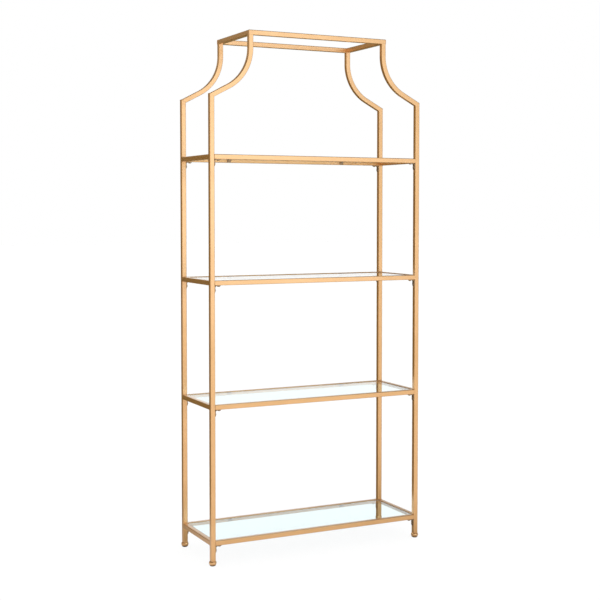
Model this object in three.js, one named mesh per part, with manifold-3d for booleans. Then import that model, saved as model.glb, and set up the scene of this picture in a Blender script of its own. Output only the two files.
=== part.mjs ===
// An open etagere with pagoda shoulders: four square-tube posts whose tops turn in and sweep up to a narrower crown,
// four rail frames that carry glass panes, and round levelling feet. Lengths are in millimetres and Z is up.
// The origin is on the floor, in the middle of the footprint, with the front at -Y.

import * as THREE from 'three';
import { mergeVertices } from 'three/addons/utils/BufferGeometryUtils.js';
import Module from 'manifold-3d';

const wasm = await Module();
wasm.setup();

// Overall sizes, over the outer faces of the tubes.
const frameWidth = 878;
const frameDepth = 298;
const lowestShelfTop = 92;
const lowerBay = 496; // from the top of one shelf frame to the top of the next
const middleBay = 450;
const upperBay = 453;
const shoulderRise = 215; // from the top shelf to the outer corner of the shoulders
const crownRise = 235; // from there to the top of the crown

// The square tube that the whole frame is made of.
const tube = 18;
const tubeWall = 1.2;
const tubeCorner = 1.8; // outer corner radius
const cornerSteps = 2;
const weldGap = 0.3; // between two ends that are cut on a slant and welded

// The swept arms, measured on their hollow outer edge.
const shoulderInset = 153; // from the outer face of a post to the outer face of the arm's upright end
const bendRadius = 152;
const bendSweep = THREE.MathUtils.degToRad(62.5);
const bendSteps = 12;

// Glass panes, let into the shelf frames.
const glassThickness = 5;
const glassRecess = 2; // from the top of the rails down to the glass
const glassGap = 1.5; // around the edge
const glassCorner = 4;
const glassArris = 0.5; // the ground edge
const paneCornerSteps = 2;

// Lugs, small lengths of steel angle welded inside the long rails to carry the glass.
const lugFromMiddle = 246;
const lugWidth = 16;
const lugReach = 13;
const lugLeg = 9;
const lugSteel = 2;

// Corner brackets under both ends of each long rail, with a round-headed screw in each leg.
const bracketSteel = 2.5;
const bracketWidth = 14;
const bracketLeg = 25; // down the post
const bracketArm = 24; // along the rail
const bracketCorner = 4.5;
const bracketFillet = 5; // in the bend
const bracketCornerSteps = 2;
const screwDrop = 17; // from the rail down to the screw in the post
const screwOut = 17.5; // from the post out to the screw in the rail
const headRadius = 5;
const headHeight = 2.8;
const headRimShare = 0.35; // of its height
const headTopShare = 0.6; // of its radius
const headSides = 8;

// Levelling feet on threaded studs, the glides under them, and the plugs that they screw into.
const footRadius = 14;
const footHeight = 18; // with its glide
const footBase = 5; // radius of the flat underside
const footTop = 10; // radius of the flat top
const footWaistShare = 0.6; // height of the widest ring, of the foot's height
const footTuckShare = 0.84; // how full its underside is, of its radius
const footSides = 24;
const footSteps = 3; // in each stretch of its rounded side
const glideHeight = 5;
const glidePeg = 3.5; // radius of the peg that the glide is pressed on
const glidePegLength = 3;
const glideFit = 0.3; // around and below the peg
const studRadius = 4;
const studLength = 32;
const studChamfer = 0.8;
const studFit = 0.3; // around the stud, in the plug
const plugHeight = 20;
const plugFit = 0.15; // between the plug and the inside of the tube
const plugCorner = 1.5;
const plugHoleSides = 16;

// Sizes that follow.
const half = tube / 2;
const bore = tube - 2 * tubeWall;
const postX = frameWidth / 2 - half;
const postY = frameDepth / 2 - half;
const shelfTops = {
  bottom: lowestShelfTop,
  lower: lowestShelfTop + lowerBay,
  upper: lowestShelfTop + lowerBay + middleBay,
  top: lowestShelfTop + lowerBay + middleBay + upperBay,
};
const shoulderZ = shelfTops.top + shoulderRise;
const crownTop = shoulderZ + crownRise;
const crownWidth = frameWidth - 2 * shoulderInset;
const longRail = frameWidth - 2 * tube;
const sideRail = frameDepth - 2 * tube;
const glassUnder = -glassRecess - glassThickness; // below the top of the rails
const footWaist = footHeight * footWaistShare;

// Finishes.
const gold = new THREE.MeshStandardMaterial({ color: 0xdcab6c, roughness: 0.36, metalness: 1 });
const brightGold = new THREE.MeshStandardMaterial({ color: 0xe2b578, roughness: 0.28, metalness: 1 });
const darkPlastic = new THREE.MeshStandardMaterial({ color: 0x24211e, roughness: 0.6, metalness: 0 });
const glass = new THREE.MeshStandardMaterial({
  color: 0xe6f5f4, roughness: 0.03, metalness: 0, transparent: true, opacity: 0.35,
});

// The corners of a square about its middle, turning left.
const squareRing = (halfSide) => [[1, 1], [-1, 1], [-1, -1], [1, -1]].map(([a, b]) => [a * halfSide, b * halfSide]);

// The same square with its corners rounded, each in equal steps.
function roundedRing(halfSide, corner, steps) {
  const ring = [];
  squareRing(halfSide - corner).forEach(([a, b], quarter) => {
    for (let step = 0; step <= steps; step += 1) {
      const angle = (quarter + step / steps) * (Math.PI / 2);
      ring.push([a + corner * Math.cos(angle), b + corner * Math.sin(angle)]);
    }
  });
  return ring;
}

// A square tube, open at its ends, carried through stations. A station holds the middle of the tube and the two
// directions across it, with across x deep pointing along the tube. On a mitre the slanted one is longer than 1.
// Its outside has rounded corners and its bore has sharp ones.
function squareTube(stations) {
  const outer = roundedRing(half, tubeCorner, cornerSteps);
  const inner = squareRing(bore / 2);
  const ring = outer.length + inner.length;
  const positions = [];
  for (const { middle, across, deep } of stations) {
    for (const [a, b] of [...outer, ...inner]) {
      const point = middle.clone().addScaledVector(across, a).addScaledVector(deep, b);
      positions.push(point.x, point.y, point.z);
    }
  }
  const triangles = [];
  const wall = (a, b, c, d) => triangles.push(a, b, c, a, c, d);
  const last = (stations.length - 1) * ring;
  const nearest = (side) => outer.length + Math.floor(side / (cornerSteps + 1));
  for (let start = 0; start < last; start += ring) {
    const end = start + ring;
    for (let side = 0; side < outer.length; side += 1) {
      const next = (side + 1) % outer.length;
      wall(start + side, start + next, end + next, end + side);
    }
    for (let side = 0; side < inner.length; side += 1) {
      const here = outer.length + side;
      const next = outer.length + ((side + 1) % inner.length);
      wall(start + next, start + here, end + here, end + next);
    }
  }
  for (let side = 0; side < outer.length; side += 1) {
    const next = (side + 1) % outer.length;
    const [here, there] = [nearest(side), nearest(next)];
    triangles.push(side, here, next, last + side, last + next, last + here);
    if (here !== there) triangles.push(next, here, there, last + next, last + there, last + here);
  }
  const geometry = new THREE.BufferGeometry();
  geometry.setAttribute('position', new THREE.Float32BufferAttribute(positions, 3));
  geometry.setIndex(triangles);
  geometry.computeVertexNormals();
  return geometry;
}

// The closed mesh as a solid that can be cut and joined, without the slivers that a lathe leaves on its axis.
function solidOf(geometry) {
  const bare = geometry.clone();
  bare.deleteAttribute('normal');
  bare.deleteAttribute('uv');
  const merged = mergeVertices(bare);
  const index = merged.index.array;
  const kept = [];
  for (let corner = 0; corner < index.length; corner += 3) {
    const [a, b, c] = [index[corner], index[corner + 1], index[corner + 2]];
    if (a !== b && b !== c && c !== a) kept.push(a, b, c);
  }
  const vertProperties = Float32Array.from(merged.attributes.position.array);
  return new wasm.Manifold(new wasm.Mesh({ numProp: 3, vertProperties, triVerts: Uint32Array.from(kept) }));
}

// Joins geometries that run into each other, or meet face to face, into one body.
function joined(...geometries) {
  const solid = geometries.map(solidOf).reduce((whole, piece) => whole.add(piece));
  const { vertProperties, triVerts } = solid.getMesh();
  const geometry = new THREE.BufferGeometry();
  geometry.setAttribute('position', new THREE.BufferAttribute(Float32Array.from(vertProperties), 3));
  geometry.setIndex(new THREE.BufferAttribute(Uint32Array.from(triVerts), 1));
  geometry.computeVertexNormals();
  return geometry;
}

// A turned piece about Z from pairs of radius and height, from the lowest up.
function turned(profile, sides) {
  const points = profile.map(([radius, height]) => new THREE.Vector2(radius, height));
  return new THREE.LatheGeometry(points, sides).rotateX(Math.PI / 2);
}

// A rectangle in the plane of a shape, with its corners rounded.
function roundedRectangle(width, height, corner) {
  const x = width / 2;
  const y = height / 2;
  const shape = new THREE.Shape();
  shape.moveTo(-x + corner, -y);
  shape.lineTo(x - corner, -y);
  shape.absarc(x - corner, -y + corner, corner, -Math.PI / 2, 0);
  shape.lineTo(x, y - corner);
  shape.absarc(x - corner, y - corner, corner, 0, Math.PI / 2);
  shape.lineTo(-x + corner, y);
  shape.absarc(-x + corner, y - corner, corner, Math.PI / 2, Math.PI);
  shape.lineTo(-x, -y + corner);
  shape.absarc(-x + corner, -y + corner, corner, Math.PI, 1.5 * Math.PI);
  return shape;
}

// A straight tube that runs along X, Y or Z between two square-cut ends.
function straightTube(axis, length) {
  const directions = {
    x: { along: new THREE.Vector3(1, 0, 0), across: new THREE.Vector3(0, 1, 0), deep: new THREE.Vector3(0, 0, 1) },
    y: { along: new THREE.Vector3(0, 1, 0), across: new THREE.Vector3(0, 0, 1), deep: new THREE.Vector3(1, 0, 0) },
  };
  const { along, across, deep } = directions[axis];
  const end = (side) => ({ middle: along.clone().multiplyScalar((side * length) / 2), across, deep });
  return squareTube([end(-1), end(1)]);
}

// A direction in the plane of the front, turned from upright towards the middle of the frame.
const leaning = (turn) => new THREE.Vector3(Math.sin(turn), 0, Math.cos(turn));
const squareTo = (turn) => new THREE.Vector3(Math.cos(turn), 0, -Math.sin(turn));
const deepwards = new THREE.Vector3(0, 1, 0);

// The seam of a shoulder splits the turn between post and arm in two equal angles.
const seamTurn = bendSweep / 2;
const seamAcross = squareTo(seamTurn).divideScalar(Math.cos(seamTurn));
const seamMiddle = new THREE.Vector3(0, 0, shoulderZ - half * Math.tan(seamTurn));
const seamSetBack = weldGap / 2 / Math.cos(seamTurn);

// A post, on its own axis: square at the foot and mitred at the shoulder.
function postGeometry() {
  const foot = { middle: new THREE.Vector3(0, 0, footHeight), across: new THREE.Vector3(1, 0, 0), deep: deepwards };
  const shoulder = {
    middle: seamMiddle.clone().addScaledVector(leaning(0), -seamSetBack), across: seamAcross, deep: deepwards,
  };
  return squareTube([foot, shoulder]);
}

// An arm, on the axis of its post: a straight run up from the shoulder, an arc that bends back to upright with its
// centre outside the frame, and an upright end under the crown.
function armGeometry() {
  const centreX = -half + shoulderInset - bendRadius;
  const arcStartX = centreX + bendRadius * Math.cos(bendSweep);
  const arcStartRise = (arcStartX + half) / Math.tan(bendSweep);
  const centreZ = shoulderZ + arcStartRise + bendRadius * Math.sin(bendSweep);
  const middleRadius = bendRadius + half;
  const stations = [{
    middle: seamMiddle.clone().addScaledVector(leaning(bendSweep), seamSetBack), across: seamAcross, deep: deepwards,
  }];
  for (let step = 0; step <= bendSteps; step += 1) {
    const turn = bendSweep * (1 - step / bendSteps);
    const middle = new THREE.Vector3(centreX, 0, centreZ).addScaledVector(squareTo(turn), middleRadius);
    stations.push({ middle, across: squareTo(turn), deep: deepwards });
  }
  const upright = new THREE.Vector3(centreX + middleRadius, 0, crownTop - tube);
  stations.push({ middle: upright, across: squareTo(0), deep: deepwards });
  return squareTube(stations);
}

// The crown's rails meet in mitres seen from above. Each is made for the front or the left side, at its own middle.
const crownSetBack = weldGap / 2 / Math.cos(Math.PI / 4);

function crownLongGeometry() {
  const end = (side) => ({
    middle: new THREE.Vector3(side * (crownWidth / 2 - half - crownSetBack), 0, 0),
    across: new THREE.Vector3(-side, 1, 0),
    deep: new THREE.Vector3(0, 0, 1),
  });
  return squareTube([end(-1), end(1)]);
}

function crownSideGeometry() {
  const end = (side) => ({
    middle: new THREE.Vector3(0, side * (postY - crownSetBack), 0),
    across: new THREE.Vector3(0, 0, 1),
    deep: new THREE.Vector3(1, -side, 0),
  });
  return squareTube([end(-1), end(1)]);
}

// A lug, seen along the rail: an angle with one leg under the glass and one down the inner face of the rail.
// It is made for the front rail, whose inner face is at +Y, and its top is at the underside of the glass.
function lugGeometry(x) {
  const shape = new THREE.Shape();
  shape.moveTo(0, 0);
  shape.lineTo(0, -lugLeg);
  shape.lineTo(lugSteel, -lugLeg);
  shape.lineTo(lugSteel, -lugSteel);
  shape.lineTo(lugReach, -lugSteel);
  shape.lineTo(lugReach, 0);
  const angle = new THREE.ExtrudeGeometry(shape, { depth: lugWidth, bevelEnabled: false });
  angle.translate(0, 0, -lugWidth / 2);
  angle.rotateX(Math.PI / 2).rotateZ(Math.PI / 2);
  return angle.translate(x, half, half + glassUnder);
}

function longRailGeometry() {
  return joined(straightTube('x', longRail), lugGeometry(-lugFromMiddle), lugGeometry(lugFromMiddle));
}

// A pane with rounded corners and a ground arris, its top face at z = 0.
function glassGeometry() {
  const shape = roundedRectangle(
    longRail - 2 * (glassGap + glassArris), sideRail - 2 * (glassGap + glassArris), glassCorner - glassArris,
  );
  const pane = new THREE.ExtrudeGeometry(shape, {
    depth: glassThickness - 2 * glassArris,
    bevelThickness: glassArris,
    bevelSize: glassArris,
    bevelSegments: 1,
    curveSegments: paneCornerSteps,
  });
  return pane.translate(0, 0, glassArris - glassThickness);
}

// The button head of a screw, sunk by half the bracket's steel so that it joins it.
function screwHead() {
  return turned([
    [0, -bracketSteel / 2],
    [headRadius, -bracketSteel / 2],
    [headRadius, headHeight * headRimShare],
    [headRadius * headTopShare, headHeight],
    [0, headHeight],
  ], headSides);
}

// One leg of a bracket: a plate that starts square at the bend and ends in rounded corners, lying along +X.
function legPlate(length) {
  const side = bracketWidth / 2;
  const shape = new THREE.Shape();
  shape.moveTo(0, -side);
  shape.lineTo(length - bracketCorner, -side);
  shape.absarc(length - bracketCorner, -side + bracketCorner, bracketCorner, -Math.PI / 2, 0);
  shape.absarc(length - bracketCorner, side - bracketCorner, bracketCorner, 0, Math.PI / 2);
  shape.lineTo(0, side);
  return new THREE.ExtrudeGeometry(shape, {
    depth: bracketSteel, bevelEnabled: false, curveSegments: bracketCornerSteps,
  });
}

// A bracket with its bend at the origin: one leg lies under the rail along +X and the other down the post along -Z.
function bracketGeometry() {
  const steel = bracketSteel;
  const railLeg = legPlate(bracketArm).translate(0, 0, -steel);
  const postLeg = legPlate(bracketLeg).rotateY(Math.PI / 2);
  const bend = new THREE.Shape();
  bend.moveTo(steel / 2, -steel / 2);
  bend.lineTo(steel / 2, -steel - bracketFillet);
  bend.lineTo(steel, -steel - bracketFillet);
  bend.absarc(steel + bracketFillet, -steel - bracketFillet, bracketFillet, Math.PI, Math.PI / 2, true);
  bend.lineTo(steel + bracketFillet, -steel / 2);
  const fillet = new THREE.ExtrudeGeometry(bend, {
    depth: bracketWidth, bevelEnabled: false, curveSegments: bracketCornerSteps,
  });
  fillet.translate(0, 0, -bracketWidth / 2).rotateX(Math.PI / 2);
  const postScrew = screwHead().rotateY(Math.PI / 2).translate(steel, 0, -screwDrop);
  const railScrew = screwHead().rotateX(Math.PI).translate(screwOut, 0, -steel);
  return joined(railLeg, postLeg, fillet, postScrew, railScrew);
}

// The rounded side of a foot: from its flat underside out to the waist, and from there in to its flat top.
const underFoot = new THREE.QuadraticBezierCurve(
  new THREE.Vector2(footBase, 0), new THREE.Vector2(footRadius * footTuckShare, 0),
  new THREE.Vector2(footRadius, footWaist),
);
const overFoot = new THREE.QuadraticBezierCurve(
  new THREE.Vector2(footRadius, footWaist), new THREE.Vector2(footRadius, footHeight),
  new THREE.Vector2(footTop, footHeight),
);
const glideShare = Math.sqrt(glideHeight / footWaist); // how far along the first the glide reaches

// A stretch of such a curve as pairs of radius and height.
function stretch(curve, from, to) {
  const pairs = [];
  for (let step = 0; step <= footSteps; step += 1) {
    const { x, y } = curve.getPoint(from + ((to - from) * step) / footSteps);
    pairs.push([x, y]);
  }
  return pairs;
}

// A foot with its stud and its peg in one piece: the ball from the top of the glide up.
function footGeometry() {
  const pegEnd = glideHeight - glidePegLength;
  const studTop = footHeight + studLength;
  return turned([
    [0, pegEnd], [glidePeg, pegEnd], [glidePeg, glideHeight],
    ...stretch(underFoot, glideShare, 1), ...stretch(overFoot, 0, 1).slice(1),
    [studRadius, footHeight], [studRadius, studTop - studChamfer], [studRadius - studChamfer, studTop], [0, studTop],
  ], footSides);
}

// The glide that the foot stands on, from z = 0 to the foot's own underside, with a blind bore for the peg.
function glideGeometry() {
  const boreRadius = glidePeg + glideFit;
  const boreEnd = glideHeight - glidePegLength - glideFit;
  return turned([
    [0, 0], ...stretch(underFoot, 0, glideShare), [boreRadius, glideHeight], [boreRadius, boreEnd], [0, boreEnd],
  ], footSides);
}

// The threaded plug in the foot of a post, flush with the end of the tube.
function plugGeometry() {
  const outline = roundedRing(bore / 2 - plugFit, plugCorner, 1);
  const shape = new THREE.Shape(outline.map(([x, y]) => new THREE.Vector2(x, y)));
  const hole = new THREE.Path();
  hole.absarc(0, 0, studRadius + studFit, 0, 2 * Math.PI, true);
  shape.holes.push(hole);
  return new THREE.ExtrudeGeometry(shape, {
    depth: plugHeight, bevelEnabled: false, curveSegments: plugHoleSides / 2,
  }).translate(0, 0, footHeight);
}

const etagere = new THREE.Group();

function place(parent, name, geometry, material, position = [0, 0, 0], turn = 0) {
  const mesh = new THREE.Mesh(geometry, material);
  mesh.name = name;
  mesh.position.set(...position);
  mesh.rotation.z = turn;
  parent.add(mesh);
}

const sides = { left: { x: -1, turn: 0 }, right: { x: 1, turn: Math.PI } };
const faces = { front: { y: -1, turn: 0 }, back: { y: 1, turn: Math.PI } };

// Everything that stands on or hangs from a post. The right-hand ones are the left-hand ones turned half round.
const cornerShapes = {
  post: postGeometry(), arm: armGeometry(), foot: footGeometry(), glide: glideGeometry(), plug: plugGeometry(),
};
const bracketShape = bracketGeometry();
for (const [face, { y }] of Object.entries(faces)) {
  for (const [side, { x, turn }] of Object.entries(sides)) {
    const corner = new THREE.Group();
    corner.position.set(x * postX, y * postY, 0);
    corner.rotation.z = turn;
    etagere.add(corner);
    place(corner, `post_${face}_${side}`, cornerShapes.post, gold);
    place(corner, `arm_${face}_${side}`, cornerShapes.arm, gold);
    place(corner, `foot_${face}_${side}`, cornerShapes.foot, brightGold);
    place(corner, `foot_glide_${face}_${side}`, cornerShapes.glide, darkPlastic);
    place(corner, `foot_plug_${face}_${side}`, cornerShapes.plug, darkPlastic);
    for (const [level, top] of Object.entries(shelfTops)) {
      place(corner, `${level}_bracket_${face}_${side}`, bracketShape, gold, [half, 0, top - tube]);
    }
  }
}

// The shelf frames: long rails bolted between the posts, side rails welded between them, and the panes.
const longRailShape = longRailGeometry();
const sideRailShape = straightTube('y', sideRail);
const glassShape = glassGeometry();
for (const [level, top] of Object.entries(shelfTops)) {
  const shelf = new THREE.Group();
  shelf.position.z = top;
  etagere.add(shelf);
  for (const [face, { y, turn }] of Object.entries(faces)) {
    place(shelf, `${level}_rail_${face}`, longRailShape, gold, [0, y * postY, -half], turn);
  }
  for (const [side, { x, turn }] of Object.entries(sides)) {
    place(shelf, `${level}_rail_${side}`, sideRailShape, gold, [x * postX, 0, -half], turn);
  }
  place(shelf, `${level}_glass`, glassShape, glass, [0, 0, -glassRecess]);
}

// The crown, a narrower frame that the four arms carry.
const crown = new THREE.Group();
crown.position.z = crownTop - half;
etagere.add(crown);
const crownLongShape = crownLongGeometry();
const crownSideShape = crownSideGeometry();
for (const [face, { y, turn }] of Object.entries(faces)) {
  place(crown, `crown_rail_${face}`, crownLongShape, gold, [0, y * postY, 0], turn);
}
for (const [side, { x, turn }] of Object.entries(sides)) {
  place(crown, `crown_rail_${side}`, crownSideShape, gold, [x * (crownWidth / 2 - half), 0, 0], turn);
}

export default etagere;
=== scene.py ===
# An open etagere of satin gold square tube, with pagoda shoulders, a narrow crown, four clear glass shelves
# and ball feet. Lengths are in metres and angles in degrees. Z is up, the front is at -Y, and the origin is
# on the floor.

import math

import bmesh
import bpy
import numpy as np
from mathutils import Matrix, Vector


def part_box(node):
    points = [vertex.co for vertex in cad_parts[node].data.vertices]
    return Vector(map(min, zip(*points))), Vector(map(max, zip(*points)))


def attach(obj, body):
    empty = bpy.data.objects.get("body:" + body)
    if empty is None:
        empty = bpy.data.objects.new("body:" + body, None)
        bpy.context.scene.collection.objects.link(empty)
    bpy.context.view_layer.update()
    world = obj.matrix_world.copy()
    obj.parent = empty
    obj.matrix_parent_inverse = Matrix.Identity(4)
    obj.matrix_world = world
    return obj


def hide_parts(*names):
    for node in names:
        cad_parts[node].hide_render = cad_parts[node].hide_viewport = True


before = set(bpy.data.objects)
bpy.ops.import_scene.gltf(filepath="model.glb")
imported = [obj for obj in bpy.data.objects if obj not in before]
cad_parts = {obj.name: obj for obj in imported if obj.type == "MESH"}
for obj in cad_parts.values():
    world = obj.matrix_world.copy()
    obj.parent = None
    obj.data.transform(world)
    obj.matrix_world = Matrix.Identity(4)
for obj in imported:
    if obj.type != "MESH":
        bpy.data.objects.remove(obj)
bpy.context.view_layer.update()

levels = ["bottom", "lower", "upper", "top"]
sides = {"left": -1, "right": 1}
faces = {"front": -1, "back": 1}
corners = [(face, side) for face in faces for side in sides]
alongX, alongY, alongZ = np.eye(3)
rightAngle = math.pi / 2
fullTurn = 2 * math.pi


# Places that are read off the frame.

def boxOf(node):
    # The lowest and the highest corner of a CAD node at rest.
    low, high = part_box(node)
    return np.array(low), np.array(high)


postLow, postHigh = boxOf("post_front_left")
tubeSize = postHigh[0] - postLow[0]
half = tubeSize / 2
postX = -(postLow[0] + postHigh[0]) / 2     # from the middle of the etagere to the middle of a post
postY = -(postLow[1] + postHigh[1]) / 2
crownHigh = boxOf("crown_rail_front")[1]
shelfTops = {level: boxOf(f"{level}_rail_front")[1][2] for level in levels}


# Surfaces. Each is a grid of points, with rows one way and closed rings the other.

def roundedRing(width, depth, corner, steps):
    # A rectangle with rounded corners, turning left: each corner's middle plus a quarter circle in steps.
    quarter = np.repeat(np.arange(4), steps + 1)
    turn = (quarter + np.tile(np.linspace(0, 1, steps + 1), 4)) * rightAngle
    x = np.array([1, -1, -1, 1])[quarter] * (width / 2 - corner) + corner * np.cos(turn)
    y = np.array([1, 1, -1, -1])[quarter] * (depth / 2 - corner) + corner * np.sin(turn)
    return np.stack([x, y], axis=1)


def carried(ring, middles, across, deep):
    # A ring carried along a path: the middle of each station, plus its across direction times the ring's x
    # and its deep direction times the ring's y.
    middles, across, deep = (np.asarray(part, dtype=float) for part in (middles, across, deep))
    return middles[:, None] + across[:, None] * ring[None, :, :1] + deep[:, None] * ring[None, :, 1:]


def equalTurns(count):
    # The angles of a number of equal steps: the number of each one times their share of a full turn.
    return np.arange(count) * fullTurn / count


def aroundZ(radius, angle, height):
    # Points about Z: the radius times the cosine and the sine of the angle, at the height.
    return np.stack([radius * np.cos(angle), radius * np.sin(angle), height + 0 * angle], axis=-1)


def turnedGrid(profile, count):
    # A profile of radii and heights turned about Z in equal steps.
    radius, height = np.asarray(profile, dtype=float).T[:, :, None]
    return aroundZ(radius, equalTurns(count), height)


def shell(grid, closeRows=False, bands=None):
    # Quads between neighbouring points, turned outwards where the volume inside them, which is the sum of
    # their triangles' triple products, comes out negative. Bands give each row of quads its material.
    rows, columns = grid.shape[:2]
    index = np.arange(rows * columns).reshape(rows, columns)
    if closeRows:
        index = np.vstack([index, index[:1]])
    index = np.hstack([index, index[:, :1]])
    quads = np.stack([index[:-1, :-1], index[:-1, 1:], index[1:, 1:], index[1:, :-1]], axis=-1)
    quads = quads.reshape(-1, 4)
    points = grid.reshape(-1, 3)
    a, b, c, d = (points - points.mean(axis=0))[quads.T]
    if np.sum(a * np.cross(b, c)) + np.sum(a * np.cross(c, d)) < 0:
        quads = quads[:, ::-1]
    bands = np.zeros(len(index) - 1) if bands is None else bands
    return points, quads, np.repeat(bands, columns)


def placed(part, shift, turn=(1, 1, 1)):
    # A shell's points times a sign for each axis, plus a shift. Two signs of -1 turn it half round.
    points, quads, bands = part
    return points * turn + shift, quads, bands


def atPost(part, face, side):
    # A left-hand shell on the axis of its post. The right-hand ones are turned half round.
    turn = -sides[side]
    return placed(part, (sides[side] * postX, faces[face] * postY, 0), (turn, turn, 1))


def atRail(part, face, top):
    # A front rail's shell below a height. The back ones are turned half round.
    turn = -faces[face]
    return placed(part, (0, faces[face] * postY, top - half), (turn, turn, 1))


meshFinish = {
    "mergeWithin": 1e-7,    # doubled points at the poles
    "sharpFrom": 32,        # edges that turn further stay sharp
    "faceWeight": 100,      # how much the large faces decide the shading beside them
}


def newPiece(name, parts, materials, body, replaced=()):
    # Shells joined in one mesh: the corner numbers of each are moved on by the count of points before it.
    # The piece is then tied to its body, and the CAD nodes that it stands for are hidden.
    starts = np.cumsum([0] + [len(points) for points, quads, bands in parts])
    points = np.concatenate([part[0] for part in parts]).astype(np.float32)
    quads = np.concatenate([part[1] + start for part, start in zip(parts, starts)]).astype(np.int32)
    bands = np.concatenate([part[2] for part in parts]).astype(np.int32)
    mesh = bpy.data.meshes.new(name)
    mesh.vertices.add(len(points))
    mesh.vertices.foreach_set("co", points.ravel())
    mesh.loops.add(quads.size)
    mesh.loops.foreach_set("vertex_index", quads.ravel())
    mesh.polygons.add(len(quads))
    mesh.polygons.foreach_set("loop_start", np.arange(0, quads.size, 4, dtype=np.int32))
    for material in materials:
        mesh.materials.append(material)
    mesh.polygons.foreach_set("material_index", bands)
    mesh.update(calc_edges=True)
    merged = bmesh.new()
    merged.from_mesh(mesh)
    bmesh.ops.remove_doubles(merged, verts=merged.verts, dist=meshFinish["mergeWithin"])
    merged.to_mesh(mesh)
    merged.free()
    mesh.shade_smooth()
    mesh.set_sharp_from_angle(angle=math.radians(meshFinish["sharpFrom"]))
    piece = bpy.data.objects.new(name, mesh)
    bpy.context.scene.collection.objects.link(piece)
    flat = piece.modifiers.new("flatFaces", "WEIGHTED_NORMAL")
    flat.keep_sharp = True
    flat.weight = meshFinish["faceWeight"]
    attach(piece, body)
    if replaced:
        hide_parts(*replaced)


# Nodes, and the effects that more than one material uses.

def addNode(tree, kind, inputs=None, **settings):
    # A node with its settings. An input is a plain value or another node's output.
    node = tree.nodes.new(kind)
    for name, value in settings.items():
        setattr(node, name, value)
    for name, value in (inputs or {}).items():
        if isinstance(value, bpy.types.NodeSocket):
            tree.links.new(value, node.inputs[name])
        else:
            node.inputs[name].default_value = value
    return node


def times(tree, first, second):
    # One value times another.
    return addNode(tree, "ShaderNodeMath", {0: first, 1: second}, operation="MULTIPLY").outputs[0]


def mixed(tree, share, first, second, way="MIX"):
    # The first colour gives way to the second by a share. A Mix node takes its colours in inputs 6 and 7 and
    # gives one in output 2.
    return addNode(tree, "ShaderNodeMix", {"Factor": share, 6: first, 7: second}, data_type="RGBA",
                   blend_type=way).outputs[2]


def newGroup(name, takes, gives):
    # An empty node group with named sockets, and its own inputs and outputs.
    tree = bpy.data.node_groups.new(name, "ShaderNodeTree")
    for way, sockets in (("INPUT", takes), ("OUTPUT", gives)):
        for socket, kind in sockets.items():
            tree.interface.new_socket(name=socket, in_out=way, socket_type=f"NodeSocket{kind}")
    return tree, tree.nodes.new("NodeGroupInput").outputs, tree.nodes.new("NodeGroupOutput").inputs


mottleNoise = {
    "detail": 4.0,
    "roughness": 0.55,
    "allDeep": 0.32,        # where the noise is this low
    "allLight": 0.68,
}


def mottleGroup():
    # Two tones mixed by slow, soft noise, as a sprayed and lacquered metal finish has them.
    takes = {"Vector": "Vector", "Scale": "Float", "Light": "Color", "Deep": "Color"}
    tree, given, out = newGroup("mottledTone", takes, {"Color": "Color"})
    noise = addNode(tree, "ShaderNodeTexNoise", {
        "Vector": given["Vector"], "Scale": given["Scale"], "Detail": mottleNoise["detail"],
        "Roughness": mottleNoise["roughness"],
    })
    share = addNode(tree, "ShaderNodeMapRange", {
        "Value": noise.outputs["Fac"],
        "From Min": mottleNoise["allDeep"], "From Max": mottleNoise["allLight"],
    })
    tree.links.new(mixed(tree, share.outputs["Result"], given["Deep"], given["Light"]), out["Color"])
    return tree


grainNoise = {
    "detail": 3.0,
    "slowScale": 0.08,      # of the fast noise's scale
    "slowDetail": 2.0,
    "slowShare": 0.35,
    "low": 0.3,             # the values that a finish spreads its roughness between
    "high": 0.7,
}


def grainGroup():
    # Fine flake: a fast noise mixed with a slower one. The value is centred on a half.
    tree, given, out = newGroup("fineGrain", {"Vector": "Vector", "Scale": "Float"}, {"Value": "Float"})
    fast = addNode(tree, "ShaderNodeTexNoise", {
        "Vector": given["Vector"], "Scale": given["Scale"], "Detail": grainNoise["detail"],
    })
    slow = addNode(tree, "ShaderNodeTexNoise", {
        "Vector": given["Vector"], "Scale": times(tree, given["Scale"], grainNoise["slowScale"]),
        "Detail": grainNoise["slowDetail"],
    })
    mean = addNode(tree, "ShaderNodeMix", {
        "Factor": grainNoise["slowShare"], "A": fast.outputs["Fac"], "B": slow.outputs["Fac"],
    })
    tree.links.new(mean.outputs[0], out["Value"])
    return tree


edgeFinder = {"samples": 4, "fullCosine": 0.9}


def edgeGroup():
    # How far the surface turns away within a radius: one less the cosine between the rounded and the plain
    # normal, over what that is at a full edge.
    tree, given, out = newGroup("edgeMask", {"Radius": "Float"}, {"Mask": "Float"})
    rounded = addNode(tree, "ShaderNodeBevel", {"Radius": given["Radius"]}, samples=edgeFinder["samples"])
    plain = addNode(tree, "ShaderNodeNewGeometry")
    cosine = addNode(tree, "ShaderNodeVectorMath", {0: rounded.outputs["Normal"], 1: plain.outputs["Normal"]},
                     operation="DOT_PRODUCT")
    mask = addNode(tree, "ShaderNodeMapRange", {
        "Value": cosine.outputs["Value"], "From Min": 1.0, "From Max": edgeFinder["fullCosine"],
    })
    tree.links.new(mask.outputs["Result"], out["Mask"])
    return tree


mottledTone, fineGrain, edgeMask = mottleGroup(), grainGroup(), edgeGroup()


def placeGroup(tree, group, inputs):
    # A shared effect placed in a material with that material's own values.
    return addNode(tree, "ShaderNodeGroup", inputs, node_tree=group)


# Materials. Each function makes one kind of finish, and each dictionary is one finish.

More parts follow.
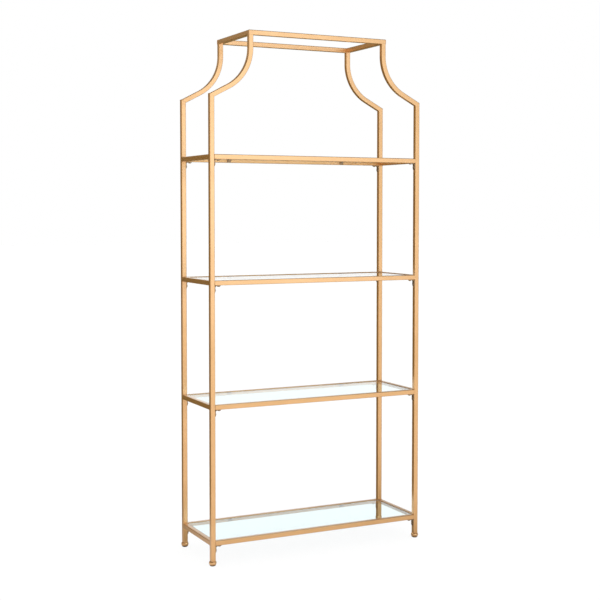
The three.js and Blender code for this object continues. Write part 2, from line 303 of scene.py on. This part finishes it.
def newMaterial(name, settings):
    # A material with its shader's plain values set on the sockets, and the coordinates its patterns read.
    material = bpy.data.materials.new(name)
    material.use_nodes = True
    tree = material.node_tree
    shader = tree.nodes["Principled BSDF"]
    for socket, value in settings.items():
        shader.inputs[socket].default_value = value
    return material, tree, shader, addNode(tree, "ShaderNodeTexCoord").outputs["Object"]


def toneOf(tree, coordinates, finish):
    # The light and the deep tone of a finish, mottled.
    return placeGroup(tree, mottledTone, {
        "Vector": coordinates, "Scale": finish["mottleScale"],
        "Light": finish["light"], "Deep": finish["deep"],
    }).outputs["Color"]


def addRelief(tree, shader, height, finish):
    # Bumps as high as a value times the finish's depth, shown at its strength.
    relief = addNode(tree, "ShaderNodeBump", {
        "Height": height, "Strength": finish["relief"], "Distance": finish["reliefDepth"],
    })
    tree.links.new(relief.outputs["Normal"], shader.inputs["Normal"])


def addGrain(tree, shader, coordinates, finish):
    # Fine grain, spread between the finish's two roughnesses, and the height of its relief.
    grain = placeGroup(tree, fineGrain, {"Vector": coordinates, "Scale": finish["grainScale"]})
    smoothest, roughest = finish["roughness"]
    gloss = addNode(tree, "ShaderNodeMapRange", {
        "Value": grain.outputs["Value"], "From Min": grainNoise["low"], "From Max": grainNoise["high"],
        "To Min": smoothest, "To Max": roughest,
    })
    tree.links.new(gloss.outputs["Result"], shader.inputs["Roughness"])
    addRelief(tree, shader, grain.outputs["Value"], finish)


def satinMetal(name, finish):
    # Mottled gold, a little lighter along its edges, with a fine flake in its gloss and relief.
    material, tree, shader, coordinates = newMaterial(name, {
        "Metallic": 1.0, "Coat Weight": finish["lacquer"], "Coat Roughness": finish["lacquerRoughness"],
    })
    edge = placeGroup(tree, edgeMask, {"Radius": finish["edgeRadius"]})
    wear = times(tree, edge.outputs["Mask"], finish["edgeWear"])
    tone = mixed(tree, wear, toneOf(tree, coordinates, finish), finish["edge"])
    tree.links.new(tone, shader.inputs["Base Color"])
    addGrain(tree, shader, coordinates, finish)
    return material


goldFinish = {
    "light": (0.79, 0.45, 0.187, 1),
    "deep": (0.735, 0.41, 0.16, 1),
    "edge": (0.86, 0.53, 0.25, 1),
    "edgeRadius": 0.0012,
    "edgeWear": 0.2,
    "mottleScale": 9.0,
    "grainScale": 1100.0,
    "roughness": (0.30, 0.40),
    "relief": 0.03,
    "reliefDepth": 0.00005,
    "lacquer": 1.0,
    "lacquerRoughness": 0.15,
}
frameGold = satinMetal("satinFrameGold", goldFinish)
# The brackets, their screws and the lugs: the frame's gold, darkened far below it as painted shade for the
# shade they sit in under the rails and beside the posts.
bracketGoldPaintedShade = satinMetal("satinBracketGoldPaintedShade", {
    **goldFinish,
    "light": (0.34, 0.205, 0.095, 1),
    "deep": (0.25, 0.15, 0.07, 1),
    "edge": (0.48, 0.31, 0.16, 1),
    "edgeRadius": 0.0006,
    "mottleScale": 60.0,
})
footGold = satinMetal("polishedFootGold", {
    **goldFinish,
    "light": (0.84, 0.49, 0.22, 1),
    "deep": (0.78, 0.44, 0.18, 1),
    "mottleScale": 40.0,
    "roughness": (0.12, 0.18),
    "relief": 0.02,
})


def shelfGlass(name, finish):
    # Clear float glass whose faces have the slow wave that toughening leaves.
    material, tree, shader, coordinates = newMaterial(name, {
        "Base Color": finish["tint"], "Roughness": finish["roughness"], "IOR": finish["ior"],
        "Transmission Weight": 1.0, "Metallic": 0.0,
    })
    wave = addNode(tree, "ShaderNodeTexNoise", {
        "Vector": coordinates, "Scale": finish["waveScale"], "Detail": 0.0,
    })
    addRelief(tree, shader, wave.outputs["Fac"], finish)
    return material


glassFinish = {
    "tint": (0.83, 0.97, 0.975, 1),
    "roughness": 0.0,
    "ior": 1.5,
    "waveScale": 7.0,
    "relief": 0.01,
    "reliefDepth": 0.0004,
}
paneGlass = shelfGlass("clearShelfGlass", glassFinish)
edgeGlass = shelfGlass("groundGlassEdge", {
    **glassFinish,
    "tint": (0.80, 0.93, 0.88, 1),
    "roughness": 0.10,
    "waveScale": 900.0,
    "relief": 0.05,
    "reliefDepth": 0.00003,
})


def mouldedPlastic(name, finish):
    # Moulded plastic: two near tones mottled, with a fine spark texture in its gloss and relief.
    material, tree, shader, coordinates = newMaterial(name, {
        "Transmission Weight": finish["clear"], "IOR": finish["ior"], "Specular IOR Level": finish["gloss"],
    })
    tree.links.new(toneOf(tree, coordinates, finish), shader.inputs["Base Color"])
    addGrain(tree, shader, coordinates, finish)
    return material


plasticFinish = {
    "light": (0.030, 0.029, 0.028, 1),
    "deep": (0.018, 0.017, 0.017, 1),
    "mottleScale": 120.0,
    "grainScale": 2500.0,
    "roughness": (0.45, 0.6),
    "relief": 0.15,
    "reliefDepth": 0.00005,
    "clear": 0.0,
    "ior": 1.49,
    "gloss": 0.5,
}
plugPlastic = mouldedPlastic("blackPlugPlastic", plasticFinish)
glideNylon = mouldedPlastic("darkGlideNylon", {
    **plasticFinish,
    "light": (0.020, 0.014, 0.010, 1),
    "deep": (0.011, 0.008, 0.006, 1),
    "roughness": (0.5, 0.62),
    "gloss": 0.2,
})
padPlastic = mouldedPlastic("clearPadPlastic", {
    **plasticFinish,
    "light": (0.93, 0.94, 0.93, 1),
    "deep": (0.88, 0.90, 0.89, 1),
    "roughness": (0.12, 0.2),
    "clear": 0.85,
})
print("etagere: materials made")


# The square tube that the frame is made of.

tubeShape = {
    "wall": 0.0012,
    "corner": 0.0024,
    "boreCorner": 0.0012,
    "cornerSteps": 6,
}


def tubeShell(middles, across, deep):
    # The outside is carried one way and the bore is carried back, so that the surface closes at both ends.
    bore = tubeSize - 2 * tubeShape["wall"]
    outer, inner = (
        carried(roundedRing(size, size, corner, tubeShape["cornerSteps"]), middles, across, deep)
        for size, corner in ((tubeSize, tubeShape["corner"]), (bore, tubeShape["boreCorner"]))
    )
    return shell(np.vstack([outer, inner[::-1]]), closeRows=True)


def framePiece(name, parts, *replaced):
    # A piece of the frame, in the frame's gold.
    newPiece(name, parts, [frameGold], "frame", replaced)


# Posts and arms. An arm leaves the slanted seam straight, and an arc bends it back to upright.

shoulder = {
    "rise": 0.215,          # from the top shelf to the outer corner
    "inset": 0.153,         # from the outside of a post to the outside of the arm's upright end
    "bendRadius": 0.152,    # of the hollow outer edge
    "bendSweep": 62.5,
    "bendSteps": 40,
}
shoulderZ = shelfTops["top"] + shoulder["rise"]
bendSweep = math.radians(shoulder["bendSweep"])
seamTurn = bendSweep / 2


def squareTo(turn):
    # The direction across a tube that leans inwards by an angle: its cosine along X and its sine down.
    turn = np.asarray(turn, dtype=float)
    return np.stack([np.cos(turn), 0 * turn, -np.sin(turn)], axis=-1)


seamMiddle = np.array([0, 0, shoulderZ - half * math.tan(seamTurn)])
seamAcross = squareTo(seamTurn) / math.cos(seamTurn)


def postShell():
    # A straight run from a level ring over the foot to the seam, whose ring is longer by one over the cosine.
    lowEnd = np.array([0, 0, postLow[2]])
    return tubeShell([lowEnd, seamMiddle], [alongX, seamAcross], [alongY, alongY])


def armShell():
    # The middle of the arc is its centre plus the middle radius times the direction across, at each turn.
    radius = shoulder["bendRadius"]
    centreX = -half + shoulder["inset"] - radius
    startX = centreX + radius * math.cos(bendSweep)
    centreZ = shoulderZ + (startX + half) / math.tan(bendSweep) + radius * math.sin(bendSweep)
    turns = bendSweep * np.linspace(1, 0, shoulder["bendSteps"] + 1)
    arc = np.array([centreX, 0, centreZ]) + (radius + half) * squareTo(turns)
    upright = np.array([centreX + radius + half, 0, crownHigh[2] - tubeSize])
    middles = np.vstack([seamMiddle, arc, upright])
    across = np.vstack([seamAcross, squareTo(turns), alongX])
    return tubeShell(middles, across, np.tile(alongY, (len(middles), 1)))


posts, arms = postShell(), armShell()
for face, side in corners:
    framePiece(f"post_{face}_{side}_tube", [atPost(posts, face, side)], f"post_{face}_{side}")
    framePiece(f"arm_{face}_{side}_tube", [atPost(arms, face, side)], f"arm_{face}_{side}")
print("etagere: posts and arms made")


# The crown, four tubes mitred at its corners.

crownZ = crownHigh[2] - half
crownReach = crownHigh[0] - half
crownLong = tubeShell([-crownReach * alongX, crownReach * alongX], [alongX + alongY, alongY - alongX],
                      [alongZ, alongZ])
crownSide = tubeShell([-postY * alongY, postY * alongY], [alongZ, alongZ],
                      [alongX + alongY, alongX - alongY])
for face in faces:
    framePiece(f"crown_{face}_tube", [atRail(crownLong, face, crownHigh[2])], f"crown_rail_{face}")
for side, x in sides.items():
    tube = placed(crownSide, (x * crownReach, 0, crownZ), (-x, -x, 1))
    framePiece(f"crown_{side}_tube", [tube], f"crown_rail_{side}")


# Flat bar bent through a right angle, for the lugs and the brackets. The outside of the bend would meet in a
# corner at the origin.

barSteps = {"end": 6, "bend": 10, "edge": 3}


def bentBar(sizes):
    # Along the bar the turn grows from none to a right angle inside the bend. The middle line is the bend's
    # centre, less its radius times the cosine along X and plus its radius times the sine along Z, plus what
    # is left of each straight leg. The half width follows a quarter circle into each rounded end.
    steel, bend, corner = sizes["steel"], sizes["bend"], sizes["corner"]
    radius = bend - steel / 2
    down, bent, out = sizes["leg"] - bend, radius * rightAngle, sizes["arm"] - bend
    whole = down + bent + out
    ease = corner * (1 - np.cos(np.linspace(0, 1, barSteps["end"] + 1) * rightAngle))
    inBend = down + bent * np.linspace(0, 1, barSteps["bend"] + 1)
    along = np.concatenate([[0], ease, inBend, whole - ease[::-1], [whole]])
    turn = np.clip((along - down) / radius, 0, rightAngle)
    x = bend - radius * np.cos(turn) + np.clip(along - down - bent, 0, None)
    z = radius * np.sin(turn) - bend + np.clip(along - down, None, 0)
    fromEnd = np.clip(np.minimum(along, whole - along), 0, corner)
    width = sizes["width"] - 2 * (corner - np.sqrt(corner**2 - (corner - fromEnd) ** 2))
    scale = width / sizes["width"]
    thick = np.ones_like(scale)
    thick[[0, -1]] = scale[[0, -1]] = 0
    across = scale[:, None] * alongY
    deep = thick[:, None] * np.stack([-np.cos(turn), 0 * turn, np.sin(turn)], axis=1)
    ring = roundedRing(sizes["width"], steel, sizes["edge"], barSteps["edge"])
    return shell(carried(ring, np.stack([x, 0 * x, z], axis=1), across, deep))


# Shelf frames: long rails with lugs for the glass, side rails, and clear pads on the lugs.

lug = {
    "fromMiddle": 0.246,
    "width": 0.016,
    "arm": 0.013,           # under the glass
    "leg": 0.009,           # down the rail
    "steel": 0.002,
    "bend": 0.0026,
    "corner": 0.002,
    "edge": 0.0003,
}
pad = {
    "radius": 0.0042,
    "height": 0.0008,
    "rim": 0.0003,
    "inset": 0.0068,        # from the rail to its middle
    "rimSteps": 4,
    "count": 24,
}
glassUnder = shelfTops["bottom"] - boxOf("bottom_glass")[0][2]
longRail = 2 * postX - tubeSize
sideRail = 2 * postY - tubeSize


def padShell():
    # A low disc turned about Z, whose top edge is a quarter circle.
    turn = np.linspace(0, rightAngle, pad["rimSteps"] + 1)
    rim = np.stack([pad["radius"] - pad["rim"] * (1 - np.cos(turn)),
                    pad["height"] - pad["rim"] * (1 - np.sin(turn))], axis=1)
    profile = np.vstack([[0, 0], [pad["radius"], 0], rim, [0, pad["height"]]])
    return shell(turnedGrid(profile, pad["count"]))


def turnedToRail(part):
    # A bar bent in the plane of X and Z, turned to reach inwards along Y from a front rail: its x becomes y,
    # and its y becomes x with the other sign.
    points, quads, bands = part
    return np.stack([-points[:, 1], points[:, 0], points[:, 2]], axis=1), quads, bands


longTube = tubeShell([-longRail / 2 * alongX, longRail / 2 * alongX], [alongY, alongY], [alongZ, alongZ])
sideTube = tubeShell([-sideRail / 2 * alongY, sideRail / 2 * alongY], [alongZ, alongZ], [alongX, alongX])
lugBar = turnedToRail(bentBar(lug))
lugTop = half - glassUnder - pad["height"]
lugs = [placed(lugBar, (x * lug["fromMiddle"], half, lugTop)) for x in sides.values()]
pads = [placed(padShell(), (x * lug["fromMiddle"], half + pad["inset"], lugTop)) for x in sides.values()]
for level, top in shelfTops.items():
    for face in faces:
        framePiece(f"{level}_{face}_rail", [atRail(longTube, face, top)], f"{level}_rail_{face}")
        # The lugs take the bracket gold, whose dark tone is painted shade.
        newPiece(f"{level}_{face}_lugs", [atRail(part, face, top) for part in lugs], [bracketGoldPaintedShade], "frame")
    for side, x in sides.items():
        tube = placed(sideTube, (x * postX, 0, top - half))
        framePiece(f"{level}_{side}_rail", [tube], f"{level}_rail_{side}")
    newPiece(f"{level}_glass_pads", [atRail(part, face, top) for part in pads for face in faces],
             [padPlastic], "frame")
print("etagere: crown and shelf frames made")


# Glass panes with rounded corners and a ground arris.

pane = {"corner": 0.004, "cornerSteps": 8, "arris": 0.0005, "arrisSteps": 3}


def paneShell(low, high):
    # The edge is a profile carried round the outline, with a quarter circle at the bottom and the top arris.
    # Both faces close to their middle.
    size = high - low
    turn = np.linspace(0, rightAngle, pane["arrisSteps"] + 1)
    lift = pane["arris"] * (1 - np.cos(turn))
    inset = pane["arris"] * (1 - np.sin(turn))
    outline = [roundedRing(size[0] - 2 * step, size[1] - 2 * step, pane["corner"] - step, pane["cornerSteps"])
               for step in (*inset, *inset[::-1])]
    rings = np.stack([0 * outline[0], *outline, 0 * outline[0]])
    heights = np.concatenate([[0], lift, size[2] - lift[::-1], [size[2]]])
    levelled = np.broadcast_to(heights[:, None, None], (*rings.shape[:2], 1))
    bands = np.ones(len(heights) - 1)
    bands[[0, -1]] = 0      # the two faces, in the first material
    part = shell(np.concatenate([rings, levelled], axis=2), bands=bands)
    return placed(part, ((low[0] + high[0]) / 2, (low[1] + high[1]) / 2, low[2]))


for level in levels:
    newPiece(f"{level}_glass_pane", [paneShell(*boxOf(f"{level}_glass"))], [paneGlass, edgeGlass],
             f"{level}_pane", [f"{level}_glass"])


# Corner brackets, with a round-headed socket screw in each leg.

bracket = {
    "leg": 0.025,           # down the post
    "arm": 0.024,           # along the rail
    "width": 0.014,
    "steel": 0.0025,
    "bend": 0.0075,         # outer radius
    "corner": 0.0045,
    "edge": 0.0004,
}
screw = {
    "drop": 0.017,          # from the rail down to the screw in the post
    "out": 0.0175,          # from the post out to the screw in the rail
    "radius": 0.005,
    "height": 0.0028,
    "rimShare": 0.2,
    "topShare": 0.55,
    "socket": 0.00155,      # from its middle to a flat
    "socketSides": 6,
    "socketDepth": 0.0017,
    "socketTip": 1.15,      # how deep its point is, over its depth
    "socketFlare": 1.08,    # how wide its mouth is, over its width
    "flareDepth": 0.0001,
    "sink": 0.0005,
    "domeSteps": 7,
    "count": 48,
}


def screwShell():
    # A rim, an elliptic dome and a six-sided socket. The socket's radius is the distance to a flat over the
    # cosine of the angle from the middle of that flat.
    radius, height, deep = screw["radius"], screw["height"], screw["socketDepth"]
    rim, top = height * screw["rimShare"], radius * screw["topShare"]
    turn = np.linspace(0, rightAngle, screw["domeSteps"] + 1)
    dome = np.stack([top + (radius - top) * np.cos(turn), rim + (height - rim) * np.sin(turn)], axis=1)
    body = turnedGrid(np.vstack([[0, -screw["sink"]], [radius, -screw["sink"]], dome]), screw["count"])
    angle = equalTurns(screw["count"])
    flat = fullTurn / screw["socketSides"]
    reach = screw["socket"] / np.cos(np.mod(angle, flat) - flat / 2)
    flare = np.array([screw["socketFlare"], 1, 1, 0])
    down = np.array([0, screw["flareDepth"], deep, deep * screw["socketTip"]])
    socket = aroundZ(flare[:, None] * reach, angle, (height - down)[:, None])
    return shell(np.vstack([body, socket]))


def pointed(part, axis):
    # A screw along +Z, turned to point its head along +X or along -Z: its x, y and z in another order, with
    # one or two of their signs changed so that it isn't mirrored.
    x, y, z = part[0].T
    points = {"x": (z, y, -x), "-z": (x, -y, -z)}[axis]
    return np.stack(points, axis=1), part[1], part[2]


bracketBar = bentBar(bracket)
screwHead = screwShell()
screwHeads = [
    placed(pointed(screwHead, "x"), (bracket["steel"], 0, -screw["drop"])),
    placed(pointed(screwHead, "-z"), (screw["out"], 0, -bracket["steel"])),
]
for level, top in shelfTops.items():
    bar, *heads = [placed(part, (half, 0, top - tubeSize)) for part in (bracketBar, *screwHeads)]
    for face, side in corners:
        place = f"{level}_bracket_{face}_{side}"
        # The bars and screw heads take the bracket gold, whose dark tone is painted shade.
        newPiece(f"{place}_bar", [atPost(bar, face, side)], [bracketGoldPaintedShade], "frame", [place])
        newPiece(f"{place}_screws", [atPost(part, face, side) for part in heads], [bracketGoldPaintedShade], "frame")
print("etagere: glass and brackets made")


# Levelling feet: a ball on a threaded stud, which draws in below to the dark glide that it stands on.

footLow, footHigh = boxOf("foot_front_left")
foot = {
    "radius": (footHigh[0] - footLow[0]) / 2,
    "height": postLow[2],
    "base": 0.005,
    "top": 0.010,
    "waistShare": 0.6,      # of its height
    "tuckShare": 0.84,      # of its radius, how full its underside is
    "glide": boxOf("foot_glide_front_left")[1][2],
    "rim": 0.0004,          # where the ball and the glide meet
    "steps": 16,
    "rimSteps": 4,
    "count": 72,
}
stud = {
    "radius": 0.004,
    "length": 0.032,
    "pitch": 0.00125,
    "depth": 0.0007,
    "chamfer": 0.0012,
    "pitchSteps": 8,
    "count": 36,
}


def bentLine(start, bend, end, shares):
    # A quadratic curve: the squares and the doubled product of a share and its rest, times its three points.
    share = np.asarray(shares)[:, None]
    points = (1 - share) ** 2 * np.array(start) + 2 * share * (1 - share) * np.array(bend)
    return points + share**2 * np.array(end)


def footShells():
    # The side is one curve from the flat underside out to the waist, and a second one in to the flat top. The
    # first rises with the square of its share, so the glide ends at the root of its height over the waist's.
    # The ball and the glide are both turned, and a small curve rounds each of them in to where they meet.
    waist = foot["height"] * foot["waistShare"]
    under = (foot["base"], 0), (foot["radius"] * foot["tuckShare"], 0), (foot["radius"], waist)
    over = (foot["radius"], waist), (foot["radius"], foot["height"]), (foot["top"], foot["height"])
    glide, rim = foot["glide"], foot["rim"]
    meeting, below, above = np.sqrt(np.array([glide, glide - rim, glide + rim]) / waist)
    edge = bentLine(*under, [meeting])[0]
    inner = edge - [rim, 0]
    lowSide = bentLine(*under, np.linspace(0, below, foot["steps"] + 1))
    highSide = bentLine(*under, np.linspace(above, 1, foot["steps"] + 1))
    shoulderSide = bentLine(*over, np.linspace(0, 1, foot["steps"] + 1))
    around = np.linspace(0, 1, foot["rimSteps"] + 1)
    lowRim = bentLine(lowSide[-1], edge, inner, around)
    highRim = bentLine(inner, edge, highSide[0], around)
    ballLine = np.vstack([[0, glide], highRim, highSide[1:], shoulderSide[1:], [0, foot["height"]]])
    glideLine = np.vstack([[0, 0], lowSide, lowRim[1:], [0, glide]])
    return [shell(turnedGrid(line, foot["count"])) for line in (ballLine, glideLine)]


def studShell():
    # The thread's radius falls from the crest by its depth times a triangle wave of the height over the
    # pitch, less the angle over a full turn. It is cut to a chamfer at the tip.
    rows = int(stud["length"] / stud["pitch"] * stud["pitchSteps"])
    height = np.linspace(0, stud["length"], rows + 1)[:, None]
    angle = equalTurns(stud["count"])[None, :]
    wave = np.abs(2 * np.mod(height / stud["pitch"] - angle / fullTurn, 1) - 1)
    radius = stud["radius"] - stud["depth"] * wave
    radius = np.minimum(radius, stud["radius"] - stud["chamfer"] + stud["length"] - height)
    grid = aroundZ(radius, angle, height)
    ends = grid[[0, -1]] * alongZ
    return placed(shell(np.vstack([ends[:1], grid, ends[1:]])), (0, 0, foot["height"]))


footBall, footGlide = footShells()
footStud = studShell()
for face, side in corners:
    leveller = f"leveller_{face}_{side}"
    newPiece(f"foot_{face}_{side}_ball", [atPost(part, face, side) for part in (footBall, footStud)],
             [footGold], leveller, [f"foot_{face}_{side}"])
    newPiece(f"foot_{face}_{side}_glide", [atPost(footGlide, face, side)], [glideNylon], leveller,
             [f"foot_glide_{face}_{side}"])
    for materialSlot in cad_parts[f"foot_plug_{face}_{side}"].material_slots:
        materialSlot.link = "OBJECT"
        materialSlot.material = plugPlastic


# Weld beads, dressed almost flush, round the joints that are welded.

weld = {
    "width": 0.0026,
    "flush": 0.00012,       # above a face that both tubes share
    "proud": 0.0011,        # in a corner between two tubes
    "sink": 0.0004,
    "steps": 10,
    "drop": 0.00015,        # keeps the crown's beads below its flat top
}


def weldShell(middle, along, across, deep, rise=weld["flush"]):
    # A ring round the tube whose section is an ellipse: the cosine moves it along the joint, and the sine
    # lifts it off the tube, by the rise across and flush deep, or sinks it into the wall.
    turn = equalTurns(weld["steps"])
    acrossLifts, deepLifts = [np.where(np.sin(turn) > 0, height, weld["sink"]) * np.sin(turn)
                              for height in (rise, weld["flush"])]
    rings = np.stack([
        roundedRing(tubeSize + 2 * acrossLift, tubeSize + 2 * deepLift, tubeShape["corner"],
                    tubeShape["cornerSteps"])
        for acrossLift, deepLift in zip(acrossLifts, deepLifts)
    ])
    shift = (weld["width"] / 2 * np.cos(turn))[:, None, None]
    grid = np.asarray(middle) + rings[..., :1] * across + rings[..., 1:] * deep + shift * along
    return shell(grid, closeRows=True)


seamAlong = np.array([math.sin(seamTurn), 0, math.cos(seamTurn)])
seamWeld = weldShell(seamMiddle, seamAlong, seamAcross, alongY)
crownFoot = np.array([shoulder["inset"], 0, crownHigh[2] - tubeSize])
footWeld = weldShell(crownFoot, alongZ, alongX, alongY)
mitreWelds = [
    weldShell((x * crownReach, y * postY, crownZ - weld["drop"]), (x * alongX - y * alongY) / math.sqrt(2),
              x * alongX + y * alongY, alongZ)
    for x in sides.values() for y in faces.values()
]
framePiece("shoulder_welds", [atPost(seamWeld, face, side) for face, side in corners])
framePiece("crown_foot_welds", [atPost(footWeld, face, side) for face, side in corners])
framePiece("crown_corner_welds", mitreWelds)
for level, top in shelfTops.items():
    framePiece(f"{level}_rail_welds", [
        weldShell((x * postX, y * sideRail / 2, top - half), alongY, alongZ, alongX, weld["proud"])
        for x in sides.values() for y in faces.values()
    ])
print("etagere: feet and welds made")


# A plain studio: a pale floor, one soft lamp in front and a white surround.

white = (1, 1, 1, 1)


def fade(tree, value, start, end):
    # Nothing to one between two values, eased at both ends.
    return addNode(tree, "ShaderNodeMapRange", {"Value": value, "From Min": start, "From Max": end},
                   interpolation_type="SMOOTHSTEP").outputs["Result"]


def straightRays(tree, path):
    # One for the rays that show the background itself: from the camera, or through glass.
    inView, throughGlass = path.outputs["Is Camera Ray"], path.outputs["Is Transmission Ray"]
    return addNode(tree, "ShaderNodeMath", {0: inView, 1: throughGlass}, operation="MAXIMUM").outputs[0]


floorLook = {
    "reach": 40.0,
    "matt": (0.90, 0.90, 0.90, 1),
    "shadowShare": 0.16,    # how much of its shadow shows
    "lift": 0.055,          # added to the white behind it, to make up for that share's matt tone
    # A painted light and shade that only metal sees: the floor's tone fades from dim to bright across it.
    "brightSide": (-0.34, -0.94, 0),
    "bright": (1.13, 1.11, 1.12, 1),
    "dim": (0.26, 0.195, 0.08, 1),
    "dimAt": -0.6,          # along the way to the bright side
    "brightAt": 0.6,
}


def studioFloor():
    # The floor shows the white behind it to the camera, less a part of the shadow that falls on it, so that a
    # foot screwed out below it stays in sight. To metal it is a matt floor with the whole of its shadow, and
    # a
    # painted light and shade in its tone: brighter on one side and dimmer on the other.
    reach = floorLook["reach"]
    mesh = bpy.data.meshes.new("floor")
    mesh.from_pydata([(-reach, -reach, 0), (reach, -reach, 0), (reach, reach, 0), (-reach, reach, 0)], [],
                     [(0, 1, 2, 3)])
    material = bpy.data.materials.new("paleFloor")
    material.use_nodes = True
    tree = material.node_tree
    tree.nodes.remove(tree.nodes["Principled BSDF"])
    coordinates = addNode(tree, "ShaderNodeTexCoord").outputs["Object"]
    along = addNode(tree, "ShaderNodeVectorMath", {0: coordinates, 1: floorLook["brightSide"]},
                    operation="DOT_PRODUCT").outputs["Value"]
    lit = mixed(tree, fade(tree, along, floorLook["dimAt"], floorLook["brightAt"]), floorLook["dim"],
                floorLook["bright"])
    straight = straightRays(tree, addNode(tree, "ShaderNodeLightPath"))
    tone = mixed(tree, straight, lit, white)
    matt = addNode(tree, "ShaderNodeBsdfDiffuse", {
        "Color": mixed(tree, 1.0, tone, floorLook["matt"], "MULTIPLY"),
    })
    lift = addNode(tree, "ShaderNodeEmission", {"Strength": floorLook["lift"]})
    clear = addNode(tree, "ShaderNodeBsdfTransparent")
    behind = addNode(tree, "ShaderNodeAddShader", {0: lift.outputs[0], 1: clear.outputs[0]})
    surface = addNode(tree, "ShaderNodeMixShader", {
        0: times(tree, straight, 1 - floorLook["shadowShare"]), 1: matt.outputs[0], 2: behind.outputs[0],
    })
    tree.links.new(surface.outputs[0], tree.nodes["Material Output"].inputs["Surface"])
    mesh.materials.append(material)
    floor = bpy.data.objects.new("floor", mesh)
    bpy.context.scene.collection.objects.link(floor)


surround = {
    "ambient": (1.0, 1.0, 1.0, 1),      # on matt surfaces
    "round": [                          # what metal reflects: from the left by the front, right and back
        (-180, (0.60, 0.59, 0.56)), (-140, (0.80, 0.80, 0.79)), (-108, (1.00, 1.02, 1.05)),
        (-90, (1.05, 1.07, 1.11)), (-68, (0.95, 0.97, 1.00)), (-57, (0.62, 0.63, 0.64)),
        (-28, (0.50, 0.49, 0.46)), (20, (0.50, 0.49, 0.46)), (48, (0.42, 0.38, 0.32)),
        (57, (0.46, 0.42, 0.36)), (65, (0.94, 0.94, 0.94)), (82, (0.96, 0.95, 0.92)),
        (92, (0.78, 0.74, 0.66)), (101, (0.30, 0.22, 0.09)), (108, (0.20, 0.14, 0.04)),
        (124, (0.22, 0.15, 0.045)), (144, (0.30, 0.24, 0.15)), (166, (0.54, 0.51, 0.46)),
        (180, (0.60, 0.59, 0.56)),
    ],
    "high": (0.24, 0.235, 0.21, 1),     # added above the ring, below the ceiling
    "highFrom": 0.10,                   # sine of the elevation
    "highTo": 0.15,
    "overhead": (0.21, 0.18, 0.13, 1),
    "overheadFrom": 0.24,
    "overheadTo": 0.42,
    "inGlass": (1.10, 1.10, 1.10, 1),   # what clear glass mirrors
}


def studioSurround():
    # White to the camera, through glass and in its clear reflections. To metal it is a ring of cards and
    # flags round the set, by the angle of the direction about Z, that gives way to a greyer ceiling.
    world = bpy.data.worlds.new("studio")
    bpy.context.scene.world = world
    world.use_nodes = True
    tree = world.node_tree
    tree.nodes.clear()
    direction = addNode(tree, "ShaderNodeTexCoord").outputs["Generated"]
    heading = addNode(tree, "ShaderNodeTexGradient", {"Vector": direction}, gradient_type="RADIAL")
    ring = addNode(tree, "ShaderNodeValToRGB", {"Fac": heading.outputs["Fac"]})
    stops = ring.color_ramp.elements
    for place, (angle, tone) in enumerate(surround["round"]):
        stop = stops[place] if place < len(stops) else stops.new(1.0)
        stop.position = angle / 360 + 0.5       # the ramp's middle is at +X
        stop.color = (*tone, 1)
    height = addNode(tree, "ShaderNodeSeparateXYZ", {"Vector": direction}).outputs["Z"]
    overRing = fade(tree, height, surround["highFrom"], surround["highTo"])
    walls = mixed(tree, overRing, ring.outputs["Color"], surround["high"], "ADD")
    overWalls = fade(tree, height, surround["overheadFrom"], surround["overheadTo"])
    reflected = mixed(tree, overWalls, walls, surround["overhead"])
    path = addNode(tree, "ShaderNodeLightPath")
    tone = mixed(tree, path.outputs["Is Glossy Ray"], surround["ambient"], reflected)
    tone = mixed(tree, path.outputs["Is Singular Ray"], tone, surround["inGlass"])
    tone = mixed(tree, straightRays(tree, path), tone, white)
    light = addNode(tree, "ShaderNodeBackground", {"Color": tone})
    output = addNode(tree, "ShaderNodeOutputWorld")
    tree.links.new(light.outputs[0], output.inputs["Surface"])


lamp = {
    "place": (0.97, -3.2, 1.75),
    "aim": (0.2, 0, 1.4),
    "width": 2.5,
    "height": 2.3,
    "power": 15.2,
    "tone": (0.79, 0.98, 1.27),
}


def softLamp():
    # A wide, soft area lamp, turned to look at its aim.
    data = bpy.data.lights.new("softbox", "AREA")
    data.shape = "RECTANGLE"
    data.size = lamp["width"]
    data.size_y = lamp["height"]
    data.energy = lamp["power"]
    data.color = lamp["tone"]
    light = bpy.data.objects.new("softbox", data)
    light.location = lamp["place"]
    light.rotation_euler = (Vector(lamp["aim"]) - light.location).to_track_quat("-Z", "Y").to_euler()
    bpy.context.scene.collection.objects.link(light)


camera = {
    "place": (-2.0576, -4.1060, 1.2879),
    "yaw": 26.55,
    "pitch": 2.74,
    "sensor": 36.0,         # its width in millimetres
    "focus": 1192.8,        # focal length in pixels of the photograph
    "pictureSize": 600,
    "middleRow": 268,       # row of the photograph that the lens points at
}


def studioCamera():
    # The lens from its length in pixels: times the sensor's width over the picture's. The shift is how far
    # the picture's middle lies from the lens's own row, over the picture's size.
    data = bpy.data.cameras.new("camera")
    data.sensor_width = camera["sensor"]
    data.lens = camera["focus"] * camera["sensor"] / camera["pictureSize"]
    data.shift_y = (camera["middleRow"] - camera["pictureSize"] / 2) / camera["pictureSize"]
    view = bpy.data.objects.new("camera", data)
    view.location = camera["place"]
    view.rotation_euler = (math.radians(90 - camera["pitch"]), 0, math.radians(-camera["yaw"]))
    bpy.context.scene.collection.objects.link(view)
    bpy.context.scene.camera = view


studioFloor()
studioSurround()
softLamp()
studioCamera()
bpy.context.scene.view_settings.view_transform = "Standard"
print("etagere: studio made")
